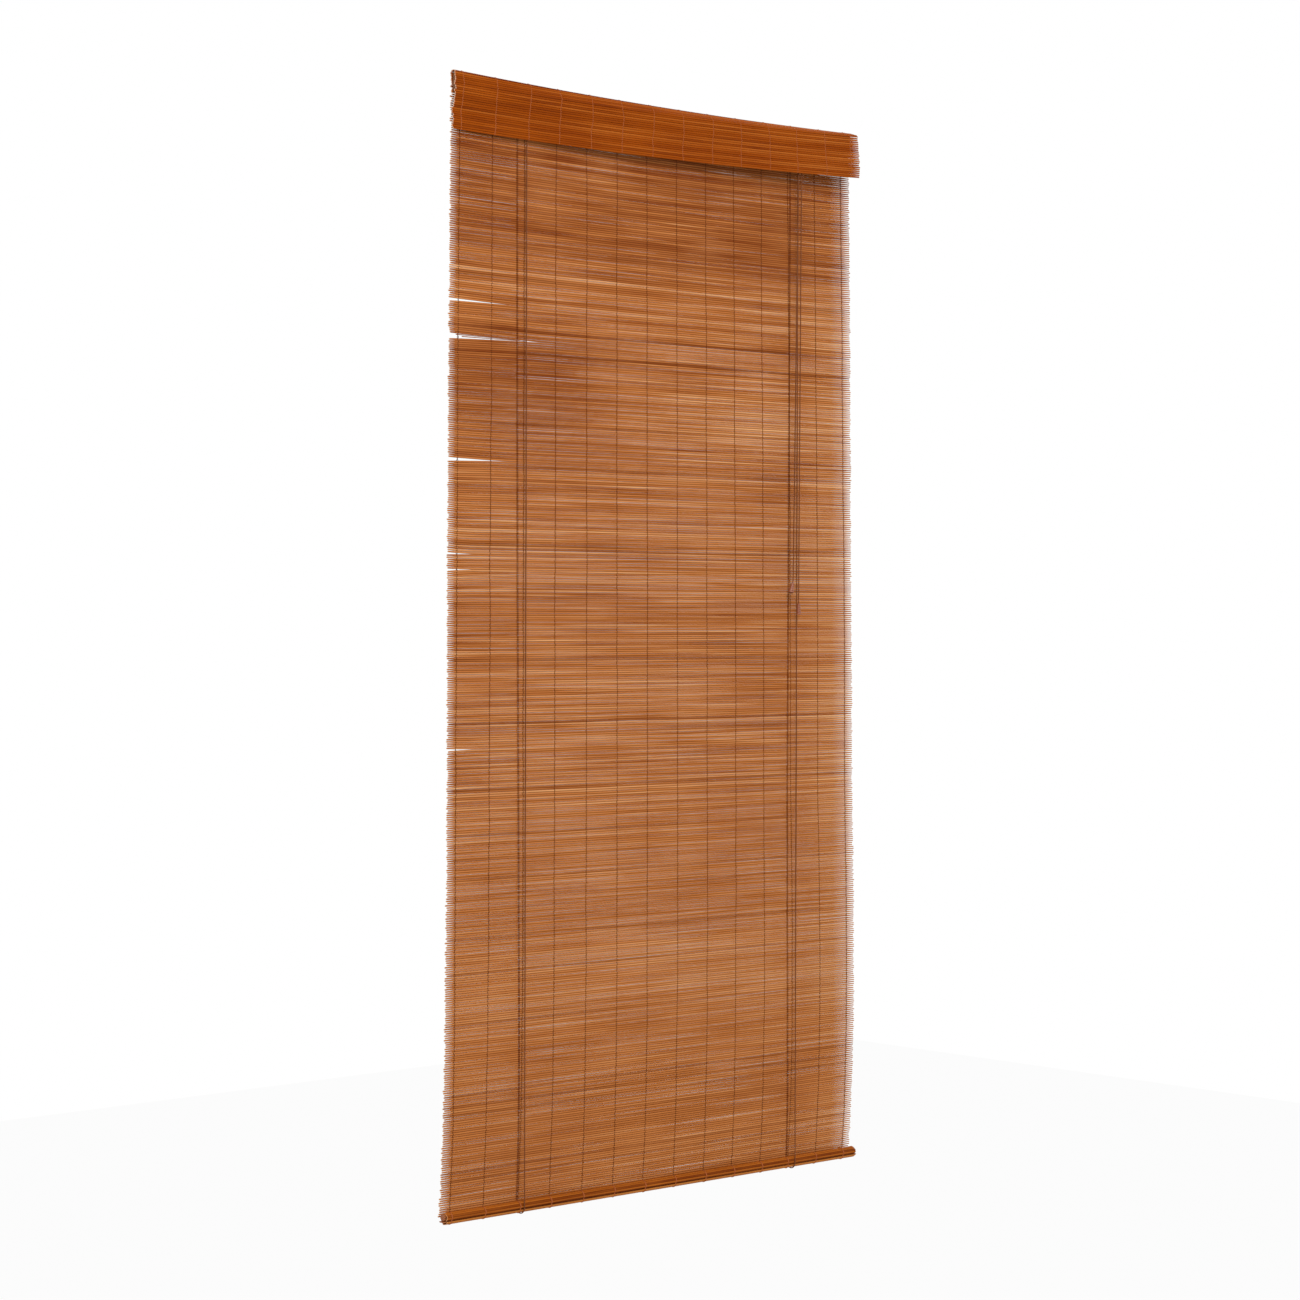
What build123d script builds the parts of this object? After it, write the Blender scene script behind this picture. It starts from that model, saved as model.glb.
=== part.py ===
from build123d import *
import math
import os

os.makedirs("parts", exist_ok=True)

# Bamboo roll-up blind, hanging fully down, in millimetres
# X runs along the head rail, Y from the room to the wall, Z up.
# The origin is midway between the two screw holes, on the back face of the folded reed mat.

# Reeds
reed_pitch = 3.45
reed_thickness = 2.0
reed_groove = 0.8
inner_groove = 0.2
reeds_per_gap = 5
gap_height = 1.0

# Whole mat
mat_width = 900.0
blind_bottom = -1785.0
mat_twist = 12.0
mat_belly = 7.0
mat_foot_swing = 12.0
mat_lean = 5.0

# Warp threads
thread_count = 14
thread_margin = 16.5
thread_width = 1.4
thread_thickness = 0.7
mat_knots = 10

# Head rail
rail_length = 890.0
rail_height = 26.0
rail_thickness = 8.0
rail_sag = 7.0
screw_spacing = 760.0
screw_hole_radius = 2.5

# Folded valance
valance_left_drop = 75.0
valance_right_drop = 64.0
valance_spans = 4
fold_radius = 2.5

# Hem
roll_radius = 9.5
roll_reeds = 17
dowel_radius = 5.5
dowel_raise = 2.2
dowel_stickout = 3.0
lath_width = 10.0
lath_thickness = 1.8
lath_stickout = 5.0

# Cords
cord_radius = 0.9
sling_gap = 0.5
eye_bend = 4.0
cross_bend = 3.5
cord_reach = 3.0
left_sling_x = -302.5
right_sling_x = 295.2

# Screw eye of the left cord
eye_x = -292.5
eye_ring_radius = 3.0
eye_wire_radius = 0.8
eye_neck = 1.2
eye_shank_radius = 1.0
eye_shank_length = 11.0

# Staples at the back of the rail
staple_width = 8.0
staple_wire = 1.2
staple_leg = 5.0
mat_staple_xs = (-420, -210, 0, 210, 420)
left_anchor_x = -311.0
right_anchor_x = 308.0
anchor_tail = 9.0

# Cord lock
lock_x = 310.0
lock_width = 16.0
lock_top = 11.5
lock_foot = -16.0
lock_depth = 13.4
lock_wall = 1.0
lock_corner_radius = 1.5
lip_height = 5.0
roller_z = 0.0
roller_width = 13.2
groove_spacing = 7.0
groove_radius = 3.5
flange_radius = 4.6
pin_radius = 1.0
pin_head_radius = 1.7
pin_head_height = 0.8
pawl_drop = 8.6
pawl_length = 6.0
pawl_width = 12.0
pawl_thickness = 2.6
pawl_teeth = 4
screw_radius = 1.1
screw_head_radius = 2.0
screw_length = 7.0
lock_screw_z = 8.0
lock_screw_spacing = 8.0

# Cord pulls
pull_1_tip = (288.0, -25.0, -775.0)
pull_2_tip = (302.0, -25.0, -811.0)
pull_1_tilt = 18.0
pull_1_length = 18.0
pull_2_length = 19.0
pull_1_top_radius = 2.3
pull_2_top_radius = 2.8
pull_1_foot_radius = 4.8
pull_2_foot_radius = 4.0
pull_bend = 4.5
knot_radius = 2.0
knot_pocket = 6.0

# Clearances
press_gap = 0.1
seat_gap = 0.3

# Places that follow from the sizes above
half_width = mat_width / 2
rail_back = -(reed_thickness + press_gap)
rail_front = rail_back - rail_thickness
rail_middle = (rail_back + rail_front) / 2
hem_z = blind_bottom + roll_radius
valance_back_foot = -rail_height / 2 - 2 * reed_thickness
thread_pitch = (mat_width - 2 * thread_margin) / (thread_count - 1)
thread_xs = [thread_margin - half_width + i * thread_pitch for i in range(thread_count)]


def bow(x):
    """Height of the sagging rail at x, against its height at the screw holes."""
    return rail_sag * ((x / half_width) ** 2 - (screw_spacing / 2 / half_width) ** 2)


def span_bow(x):
    """The same height along the straight chords that the folded mat follows."""
    span = mat_width / valance_spans
    index = min(int((x + half_width) / span), valance_spans - 1)
    start = index * span - half_width
    return bow(start) + (bow(start + span) - bow(start)) * (x - start) / span


def above_roll(depth):
    """Lowest height at which something this far inside the roll's rear tangent clears the roll."""
    return hem_z + math.sqrt(roll_radius**2 - (roll_radius - depth) ** 2) + seat_gap


mat_foot = above_roll(reed_thickness)
thread_foot = above_roll(reed_thickness + press_gap + thread_thickness)
mat_top = valance_back_foot + bow(half_width) - seat_gap
mat_height = mat_top - mat_foot
mat_reeds = round(mat_height / reed_pitch)
mat_pitch = mat_height / mat_reeds


def mat_back(x, z):
    """Y of the mat's back face: it twists, bellies into the room and swings back at its foot."""
    place = (mat_top - z) / mat_height * mat_knots
    knot = max(0, min(int(place), mat_knots - 1))
    ends = []
    for fall in (knot / mat_knots, (knot + 1) / mat_knots):
        turn = -mat_twist * (1 - (1 - fall) ** 2) * x / half_width
        ends.append(turn - mat_belly * fall + mat_foot_swing * fall**12)
    return ends[0] + (ends[1] - ends[0]) * (place - knot)


def leaning_plane(x):
    """Upright section plane at x that leans sideways with the mat, with its zero at the mat's top."""
    up = Vector(mat_lean, 0, mat_height).normalized()
    return Plane(origin=(x, 0, mat_top), x_dir=(0, 1, 0), z_dir=Vector(0, 1, 0).cross(up))


def save(solid, label):
    solid.label = label
    export_step(solid, f"parts/{label}.step")


def cord_tube(points, radii=()):
    """Round cord along straight runs, with an arc of the given radius at each corner."""
    with BuildPart() as cord:
        with BuildLine() as route:
            if radii:
                FilletPolyline(*points, radius=list(radii))
            else:
                Line(*points)
        start = route.wire()
        with BuildSketch(Plane(origin=start @ 0, z_dir=start % 0)):
            Circle(cord_radius)
        sweep(path=route.wire())
    length = start.length
    print(f"cord {length:.0f} mm, volume over section x length "
          f"{cord.part.volume / (math.pi * cord_radius**2 * length):.4f}, radii {radii}")
    return cord.part


# Head rail: a flat lath that sags a little between its screws
def rail_edge(z):
    end = rail_length / 2
    ThreePointArc((-end, z + bow(end)), (0, z + bow(0)), (end, z + bow(end)))


eye_y = rail_middle
staple_xs = [*mat_staple_xs, left_anchor_x, right_anchor_x]
staple_legs = [(x + side * (staple_width - staple_wire) / 2, bow(x)) for x in staple_xs for side in (-1, 1)]

with BuildPart() as head_rail:
    with BuildSketch(Plane.XZ.offset(-rail_back)):
        with BuildLine():
            end = rail_length / 2
            rail_edge(rail_height / 2)
            rail_edge(-rail_height / 2)
            for side in (-end, end):
                Line((side, rail_height / 2 + bow(end)), (side, -rail_height / 2 + bow(end)))
        make_face()
    extrude(amount=rail_thickness)
    fillet(head_rail.edges().filter_by(Axis.Y), 2)
    with BuildSketch(Plane.XZ.offset(-rail_back)):
        with Locations((-screw_spacing / 2, 0), (screw_spacing / 2, 0)):
            Circle(screw_hole_radius)
    extrude(amount=rail_thickness, mode=Mode.SUBTRACT)
    with BuildSketch(Plane.XZ.offset(-rail_back)):
        with Locations(*staple_legs):
            Rectangle(staple_wire + press_gap, staple_wire + press_gap)
    extrude(amount=staple_leg + press_gap, mode=Mode.SUBTRACT)
    with BuildSketch(Plane.XY.offset(-rail_height / 2 + bow(0))):
        with Locations((eye_x, eye_y)):
            Circle(eye_shank_radius + press_gap)
    extrude(amount=eye_shank_length + rail_sag, mode=Mode.SUBTRACT)
    with BuildSketch(Plane.XZ.offset(-rail_front)):
        for offset_x in (-lock_screw_spacing / 2, lock_screw_spacing / 2):
            with Locations((lock_x + offset_x, lock_screw_z)):
                Circle(screw_radius + press_gap)
    extrude(amount=-screw_length, mode=Mode.SUBTRACT)
save(head_rail.part, "head_rail")


# Valance: the top of the reed mat, folded over the rail and hanging in front of it
fold_shoulder = rail_height / 2 + 1.2
fold_crest = fold_shoulder + 2.2
left_front = rail_front - 2 * press_gap
left_fold = [(-reed_thickness, valance_back_foot), (-reed_thickness, fold_shoulder), (-5.0, fold_crest),
             (left_front, fold_shoulder), (left_front, -16.0), (-3.4, -46.0), (-3.6, -valance_left_drop)]
right_fold = [(-reed_thickness, valance_back_foot), (-reed_thickness, fold_shoulder), (-7.0, fold_crest),
              (-25.0, 10.0), (-27.5, -16.0), (-29.5, -42.0), (-30.5, -valance_right_drop)]


def fold_points(x):
    """Inner face of the fold at x, between its tight left end and its open right end."""
    share = (x + half_width) / mat_width
    return [(a[0] + (b[0] - a[0]) * share, a[1] + (b[1] - a[1]) * share + span_bow(x))
            for a, b in zip(left_fold, right_fold)]


def shifted(points, distance):
    """The points moved outward from the fold's inner face, with mitred corners."""
    moved = []
    for i, (y, z) in enumerate(points):
        before = Vector(y, z) - Vector(*points[i - 1]) if i > 0 else None
        after = Vector(*points[i + 1]) - Vector(y, z) if i < len(points) - 1 else None
        normals = [Vector(run.Y, -run.X).normalized() for run in (before, after) if run]
        total = sum(normals, Vector())
        moved.append(Vector(y, z) + total * (distance / total.dot(normals[0])))
    return moved


def fold_section(x, reeds):
    """Closed outline of the strip at x, with one ridge for each reed on both faces."""
    with BuildLine() as path:
        FilletPolyline(*fold_points(x), radius=fold_radius)
    wire = path.wire()
    inner = []
    outer = []
    for step in range(2 * reeds + 1):
        share = step / (2 * reeds)
        place = wire.position_at(share)
        run = wire.tangent_at(share)
        normal = Vector(run.Y, -run.X)
        outer.append(place + normal * (reed_thickness - (0 if step % 2 else reed_groove)))
        inner.append(place + normal * (0 if step % 2 else inner_groove))
    return outer + inner[::-1]


with BuildLine() as fold_length:
    FilletPolyline(*fold_points(0), radius=fold_radius)
valance_reeds = round(fold_length.wire().length / reed_pitch)

with BuildPart() as valance:
    for i in range(valance_spans + 1):
        station = i * mat_width / valance_spans - half_width
        with BuildSketch(Plane(origin=(station, 0, 0), x_dir=(0, 1, 0), z_dir=(1, 0, 0))):
            with BuildLine():
                Polyline(*fold_section(station, valance_reeds), close=True)
            make_face()
    loft(ruled=True)
    with BuildSketch(Plane.XZ.offset(reed_thickness + press_gap / 2)):
        with Locations((-screw_spacing / 2, 0), (screw_spacing / 2, 0)):
            Circle(screw_hole_radius)
        with Locations(*staple_legs):
            Rectangle(staple_wire + press_gap, staple_wire + press_gap)
    extrude(amount=-2 * reed_thickness, mode=Mode.SUBTRACT)
save(valance.part, "valance")

with BuildPart() as valance_threads:
    for x in thread_xs:
        with BuildSketch(Plane(origin=(x - thread_width / 2, 0, 0), x_dir=(0, 1, 0), z_dir=(1, 0, 0))):
            with BuildLine():
                near = shifted(fold_points(x), reed_thickness + press_gap)
                far = shifted(fold_points(x), reed_thickness + press_gap + thread_thickness)
                Polyline(*near, *far[::-1], close=True)
            make_face()
        extrude(amount=thread_width)
save(valance_threads.part, "valance_threads")


# Mat: one ridged wall, with open gaps between the reeds
def mat_section(x):
    front = [(mat_back(x, mat_top) - reed_thickness + reed_groove, 0)]
    for step in range(1, 2 * mat_reeds + 1):
        drop = step * mat_pitch / 2
        ridge = reed_thickness if step % 2 else reed_thickness - reed_groove
        front.append((mat_back(x, mat_top - drop) - ridge, -drop))
    knots = [knot * mat_height / mat_knots for knot in range(mat_knots, -1, -1)]
    return front + [(mat_back(x, mat_top - drop), -drop) for drop in knots]


# Where the mat has opened between its reeds at the left edge: height, length and width of each
worn_gaps = ((-337.0, 110.0, 3.0), (-400.0, 300.0, 9.0), (-590.0, 140.0, 6.0))

with BuildPart() as mat:
    for station in (-half_width, half_width):
        with BuildSketch(leaning_plane(station)):
            with BuildLine():
                Polyline(*mat_section(station), close=True)
            make_face()
    loft(ruled=True)
    gap_rows = [mat_top - row * reeds_per_gap * mat_pitch for row in range(1, mat_reeds // reeds_per_gap)]
    with Locations(*[(0, 0, z) for z in gap_rows]):
        Box(mat_width - 2 * thread_margin, 8 * mat_twist, gap_height, mode=Mode.SUBTRACT)
    with BuildSketch(Plane.XZ.offset(4 * mat_twist)):
        for height, length, width in worn_gaps:
            with BuildLine():
                Polyline((-mat_width, height + width), (-mat_width, height - width),
                         (length - half_width, height), close=True)
            make_face()
        with BuildLine():
            stations = [i * mat_width / valance_spans - half_width for i in range(valance_spans + 1)]
            Polyline(*[(x, valance_back_foot + bow(x) - seat_gap) for x in stations],
                     (half_width, mat_top + rail_sag), (-half_width, mat_top + rail_sag), close=True)
        make_face()
    extrude(amount=-8 * mat_twist, mode=Mode.SUBTRACT)
save(mat.part, "mat")

with BuildPart() as warp_threads:
    for x in thread_xs:
        thread_top = mat_top - (valance_back_foot + span_bow(x) - seat_gap)
        drops = [thread_top, *[knot * mat_height / mat_knots for knot in range(1, mat_knots)], mat_top - thread_foot]
        faces = [[(mat_back(x, mat_top - drop) - reed_thickness - press_gap - out, -drop) for drop in drops]
                 for out in (0, thread_thickness)]
        with BuildSketch(leaning_plane(x - thread_width / 2)):
            with BuildLine():
                Polyline(*faces[0], *faces[1][::-1], close=True)
            make_face()
        extrude(amount=thread_width)
save(warp_threads.part, "warp_threads")


# Staples that hold the mat, and the rear ends of the lift cords, to the back of the rail
def staple(x, proud):
    """Staple with its crown standing proud of the reeds by the given height."""
    crown_y = proud + press_gap
    reach = crown_y + staple_wire - rail_back + staple_leg
    with BuildPart() as wire:
        with BuildSketch(Plane(origin=(x, crown_y + staple_wire, bow(x)), x_dir=(1, 0, 0), z_dir=(0, -1, 0))):
            Rectangle(staple_width, staple_wire)
        extrude(amount=staple_wire)
        with BuildSketch(Plane(origin=(x, crown_y + staple_wire, bow(x)), x_dir=(1, 0, 0), z_dir=(0, -1, 0))):
            with GridLocations(staple_width - staple_wire, 0, 2, 1):
                Rectangle(staple_wire, staple_wire)
        extrude(amount=reach)
    return wire.part


with BuildPart() as staples:
    for x in mat_staple_xs:
        add(staple(x, 0))
    for x in (left_anchor_x, right_anchor_x):
        add(staple(x, press_gap + 2 * cord_radius))
save(staples.part, "staples")

# Screw eye under the rail, where the left cord turns towards the lock
eye_z = -rail_height / 2 + bow(eye_x) - eye_neck - eye_ring_radius - eye_wire_radius

with BuildPart() as left_eye:
    with BuildSketch(Plane.XY.offset(eye_z)):
        with Locations((eye_x, eye_y + eye_ring_radius)):
            Circle(eye_wire_radius)
    revolve(axis=Axis((eye_x, eye_y, eye_z), (1, 0, 0)), revolution_arc=360)
    with BuildSketch(Plane.XY.offset(eye_z + eye_ring_radius)):
        with Locations((eye_x, eye_y)):
            Circle(eye_shank_radius)
    extrude(amount=eye_neck + eye_wire_radius + eye_shank_length)
save(left_eye.part, "left_eye")

# Cord lock: a folded steel frame on the front of the rail
lock_back = rail_front - press_gap
lock_front = lock_back - lock_depth
groove_reach = groove_radius + cord_radius + press_gap / 2
rear_cord_y = lock_back - lock_wall - seat_gap - cord_radius
roller_y = rear_cord_y - groove_reach
front_cord_y = roller_y - groove_reach
pawl_y = roller_y + 0.8
pawl_z = roller_z - pawl_drop
left_groove_x = lock_x - groove_spacing / 2
right_groove_x = lock_x + groove_spacing / 2

with BuildPart() as lock_housing:
    with BuildSketch(Plane.XY.offset(lock_foot)):
        with Locations((lock_x, lock_back - lock_depth / 2)):
            RectangleRounded(lock_width, lock_depth, lock_corner_radius)
        with Locations((lock_x, lock_back - lock_depth / 2)):
            RectangleRounded(lock_width - 2 * lock_wall, lock_depth - 2 * lock_wall,
                             lock_corner_radius - lock_wall, mode=Mode.SUBTRACT)
    extrude(amount=lock_top - lock_foot)
    with BuildSketch(Plane(origin=(lock_x - lock_width, 0, 0), x_dir=(0, 1, 0), z_dir=(1, 0, 0))):
        with BuildLine():
            Polyline((lock_front - 1, lock_foot + lip_height), (lock_front + 2 * lock_wall, lock_foot + lip_height),
                     (lock_front + 2 * lock_wall, roller_z), (lock_back - 4 * lock_wall, lock_screw_z),
                     (lock_back - lock_wall, lock_screw_z), (lock_back - lock_wall, lock_top + 1),
                     (lock_front - 1, lock_top + 1), close=True)
        make_face()
    extrude(amount=2 * lock_width, mode=Mode.SUBTRACT)
    with BuildSketch(Plane(origin=(lock_x - lock_width, 0, 0), x_dir=(0, 1, 0), z_dir=(1, 0, 0))):
        with Locations((roller_y, roller_z), (pawl_y, pawl_z)):
            Circle(pin_radius + press_gap / 2)
    extrude(amount=2 * lock_width, mode=Mode.SUBTRACT)
    with BuildSketch(Plane.XZ.offset(-lock_back - 1)):
        for offset_x in (-lock_screw_spacing / 2, lock_screw_spacing / 2):
            with Locations((lock_x + offset_x, lock_screw_z)):
                Circle(screw_radius + press_gap)
    extrude(amount=lock_wall + 2, mode=Mode.SUBTRACT)
save(lock_housing.part, "lock_housing")


# Roller: two grooves between three flanges, on a riveted pin
with BuildPart() as lock_roller:
    with BuildSketch(Plane(origin=(lock_x, roller_y, roller_z), x_dir=(1, 0, 0), z_dir=(0, -1, 0))):
        with Locations((0, (flange_radius + pin_radius + press_gap) / 2)):
            Rectangle(roller_width, flange_radius - pin_radius - press_gap)
        with Locations((-groove_spacing / 2, groove_reach), (groove_spacing / 2, groove_reach)):
            Circle(cord_radius + press_gap / 2, mode=Mode.SUBTRACT)
        with Locations((-groove_spacing / 2, groove_reach + 1), (groove_spacing / 2, groove_reach + 1)):
            Rectangle(2 * cord_radius + press_gap, 2, mode=Mode.SUBTRACT)
    revolve(axis=Axis((lock_x, roller_y, roller_z), (1, 0, 0)), revolution_arc=360)
save(lock_roller.part, "lock_roller")


def lock_pin(y, z):
    """Pin across the lock's side plates, with a riveted head at each end."""
    half = lock_width / 2 + press_gap / 2
    with BuildPart() as pin:
        with BuildSketch(Plane(origin=(lock_x - half - pin_head_height, y, z), x_dir=(0, 1, 0), z_dir=(1, 0, 0))):
            Circle(pin_radius)
        extrude(amount=2 * (half + pin_head_height))
        for start in (-half - pin_head_height, half):
            with BuildSketch(Plane(origin=(lock_x + start, y, z), x_dir=(0, 1, 0), z_dir=(1, 0, 0))):
                Circle(pin_head_radius)
            extrude(amount=pin_head_height)
    return pin.part


save(lock_pin(roller_y, roller_z), "roller_pin")
save(lock_pin(pawl_y, pawl_z), "pawl_pin")

# Pawl: a toothed cam between the rear and front runs, which swings forward onto the front run
with BuildPart() as lock_pawl:
    with BuildSketch(Plane(origin=(lock_x - pawl_width / 2, pawl_y, pawl_z), x_dir=(0, 1, 0), z_dir=(1, 0, 0))):
        Circle(pin_radius + 1.0)
        with BuildLine():
            tooth = (pawl_length - pin_radius) / pawl_teeth
            teeth = [(-pawl_thickness / 2 - 0.5 * (i % 2), -pin_radius - i * tooth / 2)
                     for i in range(2 * pawl_teeth + 1)]
            Polyline((-pawl_thickness / 2, 0), *teeth, (pawl_thickness / 2, -pawl_length * 0.8),
                     (pawl_thickness / 2, 0), close=True)
        make_face()
        Circle(pin_radius + press_gap, mode=Mode.SUBTRACT)
    extrude(amount=pawl_width)
save(lock_pawl.part, "lock_pawl")

with BuildPart() as lock_screws:
    for offset_x in (-lock_screw_spacing / 2, lock_screw_spacing / 2):
        head_plane = Plane.XZ.offset(-(lock_back - lock_wall - press_gap))
        with BuildSketch(head_plane):
            with Locations((lock_x + offset_x, lock_screw_z)):
                Circle(screw_head_radius)
        extrude(amount=1.0)
        with BuildSketch(head_plane):
            with Locations((lock_x + offset_x, lock_screw_z)):
                Circle(screw_radius)
        extrude(amount=-(screw_length - 1))
save(lock_screws.part, "lock_screws")

# Hem: the foot of the mat wrapped round a dowel, with a thin lath tucked in below it
hem_left = Vector(-half_width - mat_lean, mat_back(-half_width, mat_foot) - roll_radius, hem_z)
hem_right = Vector(half_width - mat_lean, mat_back(half_width, mat_foot) - roll_radius, hem_z)
hem_axis = (hem_right - hem_left).normalized()


def hem_plane(along):
    """Section plane of the hem, at a distance along it from its left end."""
    across = Vector(0, 0, 1).cross(hem_axis)
    return Plane(origin=hem_left + hem_axis * along, x_dir=across, z_dir=hem_axis)


lath_z = dowel_raise - dowel_radius - seat_gap - lath_thickness / 2

with BuildPart() as hem_roll:
    with BuildSketch(hem_plane(0)):
        with BuildLine():
            turn = 180 / roll_reeds
            rim = [Vector(roll_radius - (reed_groove if i % 2 else 0), 0).rotate(Axis.Z, i * turn)
                   for i in range(2 * roll_reeds)]
            Polyline(*rim, close=True)
        make_face()
        with Locations((0, dowel_raise)):
            Circle(dowel_radius + press_gap, mode=Mode.SUBTRACT)
        with Locations((0, lath_z)):
            Rectangle(lath_width + 2 * press_gap, lath_thickness + 2 * press_gap, mode=Mode.SUBTRACT)
    extrude(amount=mat_width)
save(hem_roll.part, "hem_roll")

with BuildPart() as bottom_dowel:
    with BuildSketch(hem_plane(-dowel_stickout)):
        with Locations((0, dowel_raise)):
            Circle(dowel_radius)
    extrude(amount=mat_width + 2 * dowel_stickout)
    chamfer(bottom_dowel.edges().filter_by(GeomType.CIRCLE), 0.6)
save(bottom_dowel.part, "bottom_dowel")

with BuildPart() as hem_lath:
    with BuildSketch(hem_plane(-lath_stickout)):
        with Locations((0, lath_z)):
            Rectangle(lath_width, lath_thickness)
    extrude(amount=mat_width + 2 * lath_stickout)
save(hem_lath.part, "hem_lath")


# Lift cords: down the front, under the hem and up the back to their staples
def sling_frame(x):
    """Centre of the hem at x, and the level direction across it."""
    along = (x - hem_left.X) / hem_axis.X
    return hem_left + hem_axis * along, Vector(0, 0, 1).cross(hem_axis)


sling_radius = roll_radius + sling_gap + cord_radius


def sling(x):
    """Half turn of cord that carries the hem."""
    centre, across = sling_frame(x)
    with BuildPart() as bend:
        with BuildLine() as path:
            ThreePointArc(centre - across * sling_radius, centre - Vector(0, 0, sling_radius),
                          centre + across * sling_radius)
        with BuildSketch(Plane(origin=path.wire() @ 0, z_dir=path.wire() % 0)):
            Circle(cord_radius)
        sweep(path=path.wire())
    return bend.part


save(sling(left_sling_x), "left_sling")
save(sling(right_sling_x), "right_sling")

eye_cord_z = eye_z - eye_ring_radius + eye_wire_radius + cord_radius + press_gap
left_top = Vector(eye_x - eye_bend, eye_y, eye_cord_z - eye_bend)
right_top = Vector(right_groove_x, rear_cord_y, lock_foot - cord_reach)


def lift_front(top, x):
    centre, across = sling_frame(x)
    return cord_tube([top, centre - across * sling_radius])


def lift_rear(anchor_x, x):
    centre, across = sling_frame(x)
    return cord_tube([Vector(anchor_x, press_gap + cord_radius, bow(anchor_x) + anchor_tail),
                      centre + across * sling_radius])


save(lift_front(left_top, left_sling_x), "lift_left_front")
save(lift_front(right_top, right_sling_x), "lift_right_front")
save(lift_rear(left_anchor_x, left_sling_x), "lift_left_rear")
save(lift_rear(right_anchor_x, right_sling_x), "lift_right_rear")


# Cords over the roller, the left one with its run along the rail
def over_roller(x, start):
    """Corner points and radii of a cord that rises behind the roller and falls in front of it."""
    crest = roller_z + groove_reach
    return [*start, (x, rear_cord_y, crest), (x, front_cord_y, crest), (x, front_cord_y, lock_foot - cord_reach)]


cross_z = lock_foot - cross_bend
cross_start = [left_top, (left_top.X, eye_y, eye_cord_z), (left_groove_x, rear_cord_y, cross_z)]
turn_radius = groove_reach - 0.001
save(cord_tube(over_roller(left_groove_x, cross_start),
               [eye_bend - 0.01, cross_bend, turn_radius, turn_radius]), "cross_cord")
save(cord_tube(over_roller(right_groove_x, [right_top]), [turn_radius, turn_radius]), "roller_cord")


# Pull cords and their turned wooden pulls
def pull_cord(start, tip, up, length):
    """Cord from the lock to its knot, straight or with one bend just above a tilted pull."""
    knot_top = tip - up * (length - knot_pocket)
    if up.get_angle(start - tip) < 1:
        return cord_tube([start, knot_top])
    return cord_tube([start, tip + up * pull_bend / 2, knot_top], [pull_bend])


def cord_pull(tip, up, length, top_radius, foot_radius):
    """Turned bell: slim neck, widening foot, a bore for the cord and a pocket for its knot."""
    foot = tip - up * length
    across = Vector(0, 1, 0).cross(up).normalized()
    plane = Plane(origin=foot, x_dir=across, z_dir=across.cross(up))
    with BuildPart() as bell:
        with BuildSketch(plane):
            with BuildLine():
                Polyline((knot_radius + seat_gap, 0), (foot_radius, 0), (foot_radius, 1.5))
                Spline((foot_radius, 1.5), (top_radius + 0.35 * (foot_radius - top_radius), length * 0.6),
                       (top_radius, length - 1))
                Polyline((top_radius, length - 1), (top_radius - 0.8, length), (cord_radius + press_gap, length),
                         (cord_radius + press_gap, knot_pocket), (knot_radius + seat_gap, knot_pocket),
                         (knot_radius + seat_gap, 0))
            make_face()
        revolve(axis=Axis(foot, up), revolution_arc=360)
    return bell.part


def pull_knot(tip, up, length):
    """Round knot in the pocket, right under the end of the bore."""
    centre = tip - up * (length - knot_pocket + knot_radius + press_gap)
    with BuildPart() as knot:
        with Locations(Location(centre)):
            Sphere(knot_radius)
    return knot.part


pulls = (("1", left_groove_x, pull_1_tip, pull_1_length, pull_1_top_radius, pull_1_foot_radius),
         ("2", right_groove_x, pull_2_tip, pull_2_length, pull_2_top_radius, pull_2_foot_radius))
for name, groove_x, tip, length, top_radius, foot_radius in pulls:
    tip = Vector(*tip)
    start = Vector(groove_x, front_cord_y, lock_foot - cord_reach - press_gap / 2)
    up = (start - tip).normalized()
    if name == "1":
        up = Vector(math.sin(math.radians(pull_1_tilt)), 0, math.cos(math.radians(pull_1_tilt)))
    save(pull_cord(start, tip, up, length), f"pull_cord_{name}")
    save(cord_pull(tip, up, length, top_radius, foot_radius), f"cord_pull_{name}")
    save(pull_knot(tip, up, length), f"pull_knot_{name}")
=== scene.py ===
import math

import bpy
import numpy as np
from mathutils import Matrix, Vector


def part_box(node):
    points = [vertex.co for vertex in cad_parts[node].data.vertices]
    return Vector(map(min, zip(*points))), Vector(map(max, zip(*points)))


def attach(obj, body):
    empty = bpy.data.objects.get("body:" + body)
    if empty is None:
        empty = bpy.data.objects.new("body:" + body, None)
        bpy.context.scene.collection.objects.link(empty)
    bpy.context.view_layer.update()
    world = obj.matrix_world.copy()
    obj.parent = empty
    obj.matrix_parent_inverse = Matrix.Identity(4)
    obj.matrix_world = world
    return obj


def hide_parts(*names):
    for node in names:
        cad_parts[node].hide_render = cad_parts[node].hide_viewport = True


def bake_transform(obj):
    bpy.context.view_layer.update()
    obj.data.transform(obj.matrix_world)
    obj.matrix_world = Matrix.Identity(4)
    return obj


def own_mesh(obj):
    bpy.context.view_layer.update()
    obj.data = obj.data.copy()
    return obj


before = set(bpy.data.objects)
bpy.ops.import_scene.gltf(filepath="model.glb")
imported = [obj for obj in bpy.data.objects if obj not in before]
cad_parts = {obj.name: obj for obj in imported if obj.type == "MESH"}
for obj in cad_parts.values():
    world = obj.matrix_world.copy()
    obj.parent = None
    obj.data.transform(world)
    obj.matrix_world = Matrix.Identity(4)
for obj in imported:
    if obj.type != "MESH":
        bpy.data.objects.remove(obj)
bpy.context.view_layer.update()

# Sizes of the blind in metres, as in the part's source
half_width = 0.450
rail_sag = 0.007
screw_place = 0.380
reed_pitch = 0.00345
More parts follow.
